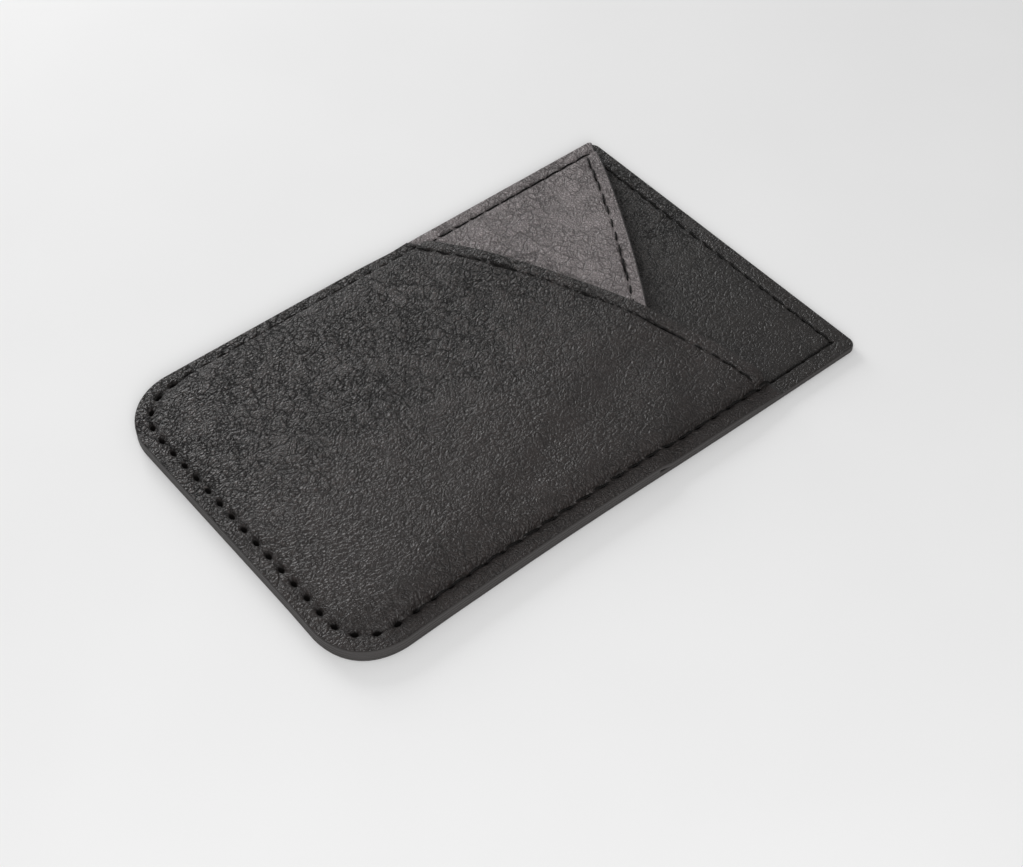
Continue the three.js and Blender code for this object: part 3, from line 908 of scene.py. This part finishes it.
def film_material(tone):
    """Adhesive sheet: satin, faintly cloudy, with tiny trapped bubbles."""
    material, shader, place = new_material("adhesive_film")
    cloud = place.noise(120.0, detail=3.0).between(0.3, 0.7, 0.92, 1.04)
    bubbles = place.cells(700.0, "F1").between(0.10, 0.22)
    dark = tuple(part * 0.86 for part in tone)
    plug(bubbles.blend((*dark, 1.0), (*tone, 1.0)).scaled(cloud), shader, "Base Color")
    plug(place.noise(300.0).between(0.3, 0.7, 0.28, 0.42), shader, "Roughness")
    plug(bubbles.raised(0.00003, strength=0.6), shader, "Normal")
    return material


def floor_material(tone):
    """Plain pale floor."""
    material, shader, place = new_material("floor")
    worn = place.noise(30.0).between(0.3, 0.7, 0.985, 1.0)
    body = place.make("ShaderNodeVectorMath", {0: tone, "Scale": worn}, operation="SCALE")
    plug(body, shader, "Base Color")
    shader.inputs["Roughness"].default_value = 0.8
    return material


def fit(piece, material, node):
    """Dresses a piece, lets it ride with the body and stand for its node."""
    piece.data.materials.clear()
    piece.data.materials.append(material)
    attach(piece, "root")
    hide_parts(node)


def current_shape():
    """The form for the sizes that are set now."""
    return Shape(bpy.context.scene.holder_sizes)


class HOLDER_OT_adhesive(bpy.types.Operator):
    """Make the adhesive sheet under the back"""

    bl_idname = "holder.adhesive"
    bl_label = "Make adhesive sheet"

    def execute(self, context):
        shape = current_shape()
        inset = shape.s.adhesive_inset
        piece = full_skin(shape, "adhesive_sheet", 0.0, shape.back_level, inset, False)
        fit(piece, film_material(context.scene.holder_colours.adhesive), "adhesive_pad")
        return {"FINISHED"}


class HOLDER_OT_backs(bpy.types.Operator):
    """Make the back panel and the facing on it"""

    bl_idname = "holder.backs"
    bl_label = "Make back panels"

    def execute(self, context):
        shape = current_shape()
        colours = context.scene.holder_colours
        back = full_skin(shape, "back_leather_panel", shape.back_level, shape.facing_level, 0.0, False)
        fit(back, leather("backing_leather", tuple(colours.back)), "back_panel")
        facing = full_skin(shape, "facing_leather_panel", shape.facing_level, shape.pocket_floor, 0.0, True)
        fit(facing, leather("facing_leather", tuple(colours.facing)), "back_facing")
        return {"FINISHED"}


class HOLDER_OT_pockets(bpy.types.Operator):
    """Make the middle and the front pocket panels"""

    bl_idname = "holder.pockets"
    bl_label = "Make pockets"

    def execute(self, context):
        shape = current_shape()
        s = shape.s
        colours = context.scene.holder_colours
        middle = pocket_skin(
            shape,
            "middle_leather_panel",
            shape.middle_mouth,
            s.middle_hem,
            shape.middle_top,
            shape.middle_under,
        )
        # The middle leather's lighter tone is painted sheen
        middle_leather = leather("middle_leather", tuple(colours.middle), grain=0.45, wrinkle=0.6)
        fit(middle, middle_leather, "middle_panel")
        front = pocket_skin(
            shape,
            "front_leather_panel",
            shape.front_mouth,
            s.front_hem,
            shape.front_top,
            shape.front_under,
        )
        fit(front, leather("front_leather", tuple(colours.front)), "front_panel")
        return {"FINISHED"}


class HOLDER_OT_stitching(bpy.types.Operator):
    """Sew the perimeter seam and both hems"""

    bl_idname = "holder.stitching"
    bl_label = "Make stitching"

    def perimeter(self, shape):
        """Places along the perimeter seam, over each panel in turn and then along the open edge."""
        s = shape.s
        x, y = seam_route(shape)
        past_middle = shape.middle_mouth.past(x, y)
        past_front = shape.front_mouth.past(x, y)
        middle = shape.pocket_floor + s.middle * (1.0 - smooth(past_middle / THREAD_STEP + 0.5))
        front = shape.front_margin(x, y) + s.front
        level = mix(middle, front, 1.0 - smooth(past_front / THREAD_STEP + 0.5))
        sunk = shape.seam(x, y, np.full_like(x, s.seam_inset))
        loose = level - sunk - LOOSE_DEPTH
        tight = level - np.minimum(sunk, TIGHT_DIP) + s.thread * THREAD_LIFT
        return shape.placed(x, y, mix(loose, tight, shape.tightness(x, y)))

    def hem(self, shape, mouth, hem, top):
        """Places along a hem seam."""
        s = shape.s
        reach = shape.seam_half - HEM_END
        x = np.linspace(-reach, reach, HEM_STEPS) + s.seam_shift
        y = mouth.at(x) - hem * mouth.slant(x)
        inset = shape.half - np.abs(x - s.seam_shift)
        level, _ = top(x, y, inset, np.full_like(x, hem))
        return shape.placed(x, y, level + s.thread * THREAD_LIFT)

    def execute(self, context):
        shape = current_shape()
        s = shape.s
        thread = thread_material(tuple(context.scene.holder_colours.thread))
        around = stitch_row("perimeter_thread", self.perimeter(shape), shape.stitches, s.thread)
        fit(around, thread, "perimeter_stitching")
        rows = (
            ("mouth", shape.front_mouth, s.front_hem, shape.front_top),
            ("inner_mouth", shape.middle_mouth, s.middle_hem, shape.middle_top),
        )
        for name, mouth, hem, top in rows:
            places = self.hem(shape, mouth, hem, top)
            distance = np.linalg.norm(np.diff(places[:, :2], axis=0), axis=1).sum()
            row = stitch_row(f"{name}_thread", places, round(distance / s.stitch), s.thread)
            fit(row, thread, f"{name}_stitching")
        return {"FINISHED"}


class HOLDER_OT_stage(bpy.types.Operator):
    """Set up the floor, the lights and the camera"""

    bl_idname = "holder.stage"
    bl_label = "Make stage"

    def lamp(self, name, place, size, power):
        """A square lamp that faces the holder."""
        bpy.ops.object.light_add(type="AREA", location=place)
        lamp = bpy.context.active_object
        lamp.name = name
        lamp.data.shape = "SQUARE"
        lamp.data.size = size
        lamp.data.energy = power
        lamp.rotation_euler = (-lamp.location).to_track_quat("-Z", "Y").to_euler()

    def execute(self, context):
        scene = context.scene
        stage = scene.holder_stage
        deselect()
        bpy.ops.mesh.primitive_plane_add(size=FLOOR_SIZE)
        floor = context.active_object
        floor.name = "floor"
        floor.data.materials.append(floor_material(tuple(scene.holder_colours.floor)))
        floor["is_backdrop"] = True
        self.lamp("key_lamp", KEY_PLACE, KEY_SIZE, stage.key_power)
        self.lamp("fill_lamp", FILL_PLACE, FILL_SIZE, stage.fill_power)
        world = bpy.data.worlds.new("surroundings")
        world.use_nodes = True
        sky = world.node_tree.nodes["Background"]
        sky.inputs["Strength"].default_value = stage.sky
        sky.inputs["Color"].default_value = (1.0, 1.0, 1.0, 1.0)
        scene.world = world
        bpy.ops.object.camera_add(location=stage.camera_place, rotation=stage.camera_turn)
        camera = context.active_object
        camera.name = "camera"
        camera.data.sensor_width = 36.0
        camera.data.lens = stage.camera_lens
        camera.data.clip_start = 0.01
        scene.camera = camera
        scene.view_settings.view_transform = "Standard"
        return {"FINISHED"}


class HOLDER_PT_sidebar(bpy.types.Panel):
    """Sizes, colours and the steps of the build"""

    bl_idname = "HOLDER_PT_sidebar"
    bl_label = "Card Holder"
    bl_space_type = "VIEW_3D"
    bl_region_type = "UI"
    bl_category = "Card Holder"

    def draw(self, context):
        layout = self.layout
        for group in (context.scene.holder_sizes, context.scene.holder_colours, context.scene.holder_stage):
            box = layout.box()
            for name in group.__annotations__:
                box.prop(group, name)
        for step in STEPS:
            layout.operator(step)


CLASSES = (
    HolderSizes,
    HolderColours,
    HolderStage,
    HOLDER_OT_adhesive,
    HOLDER_OT_backs,
    HOLDER_OT_pockets,
    HOLDER_OT_stitching,
    HOLDER_OT_stage,
    HOLDER_PT_sidebar,
)
STEPS = ("holder.adhesive", "holder.backs", "holder.pockets", "holder.stitching", "holder.stage")
GROUPS = {"holder_sizes": HolderSizes, "holder_colours": HolderColours, "holder_stage": HolderStage}


def register():
    """Registers the classes and the settings on the scene."""
    for item in CLASSES:
        bpy.utils.register_class(item)
    for name, group in GROUPS.items():
        setattr(bpy.types.Scene, name, PointerProperty(type=group))


def unregister():
    """Takes the settings and the classes away again."""
    for name in GROUPS:
        delattr(bpy.types.Scene, name)
    for item in reversed(CLASSES):
        bpy.utils.unregister_class(item)


def corners():
    """The box of everything shown, as plain lists."""
    return [list(map(float, corner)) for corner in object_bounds()]


def main():
    """Builds every piece."""
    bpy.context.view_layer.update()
    register()
    bpy.ops.holder.adhesive()
    bpy.ops.holder.backs()
    bpy.ops.holder.pockets()
    bpy.ops.holder.stitching()
    bpy.ops.holder.stage()


if __name__ == "__main__":
    main()
